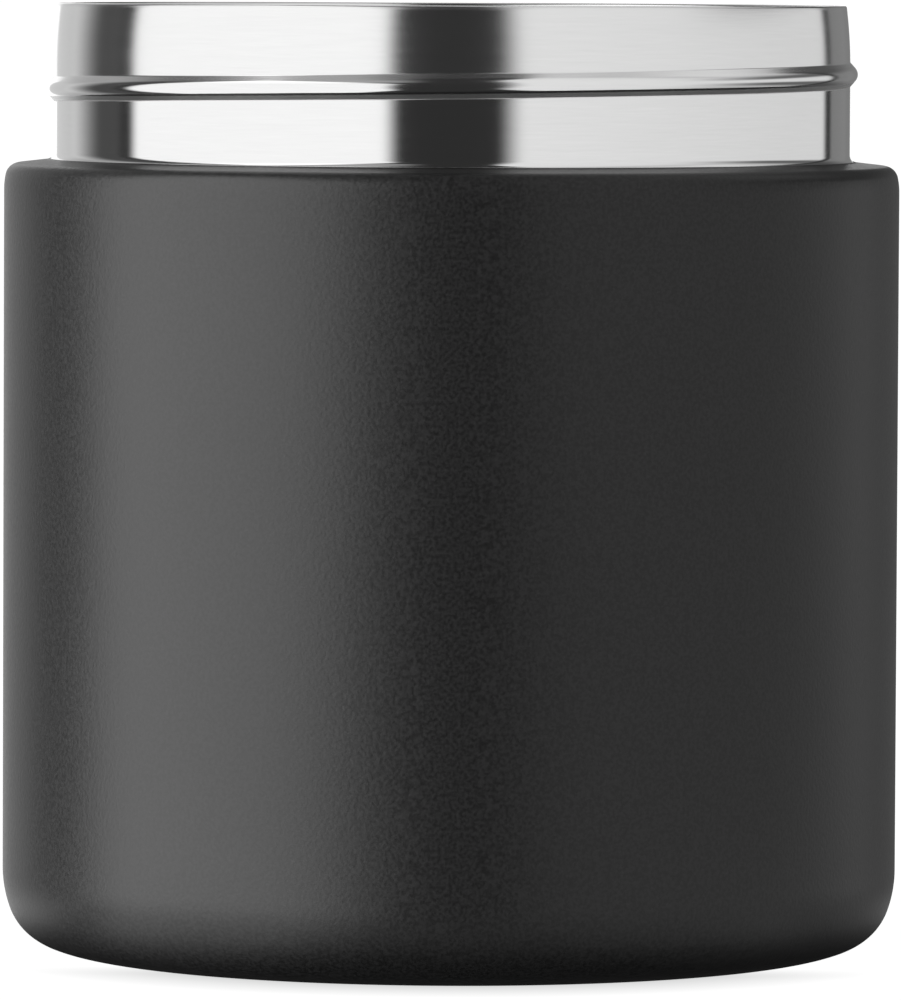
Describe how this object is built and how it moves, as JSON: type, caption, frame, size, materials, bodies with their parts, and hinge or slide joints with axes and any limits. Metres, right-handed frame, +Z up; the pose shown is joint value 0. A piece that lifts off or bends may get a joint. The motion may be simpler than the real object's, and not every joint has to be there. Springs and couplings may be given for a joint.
{
  "type": "insulated food jar",
  "caption": "Wide-mouth double-wall vacuum food jar, without its screw lid: satin black coated body, rounded base corner, bare polished steel neck with a rolled thread bead.",
  "frame": {"origin": "centre of the circle that the jar stands on, at the height of the surface it stands on", "axes": "+Z up out of the mouth, -Y towards the front, where the thread bead is halfway up its climb, +X to the right seen from the front"},
  "size_m": [0.1, 0.1, 0.1059],
  "materials": {
    "outer_steel": "polished 18/8 steel, faint rolling lines round the neck",
    "black_coat": "satin black powder coat with a fine sandy texture",
    "lip_steel": "weld lip, ground round and polished",
    "liner_steel": "satin electropolished steel",
    "liner_floor_steel": "pressed steel, satin electropolished, faint spun rings",
    "weld_steel": "bare steel, as welded",
    "base_steel": "pressed steel, spun-brushed on the standing land",
    "sealing_glass": "dark solder glass",
    "getter": "sintered grey metal pill",
    "copper": "bright copper foil",
    "cover_steel": "stamped steel disc, circular brushing",
    "adhesive": "closed-cell foam tape, black"
  },
  "bodies": {
    "root": {"outer_shell": "outer_steel", "powder_coat": "black_coat", "rim_weld": "lip_steel", "inner_liner": "liner_steel", "liner_bottom": "liner_floor_steel", "liner_weld": "weld_steel", "outer_base": "base_steel", "base_weld": "weld_steel", "sealing_glass": "sealing_glass", "getter_pill": "getter", "getter_clip": "weld_steel", "copper_foil": "copper", "foil_disc": "copper", "base_cover": "cover_steel", "adhesive_ring": "adhesive"}
  },
  "joints": []
}
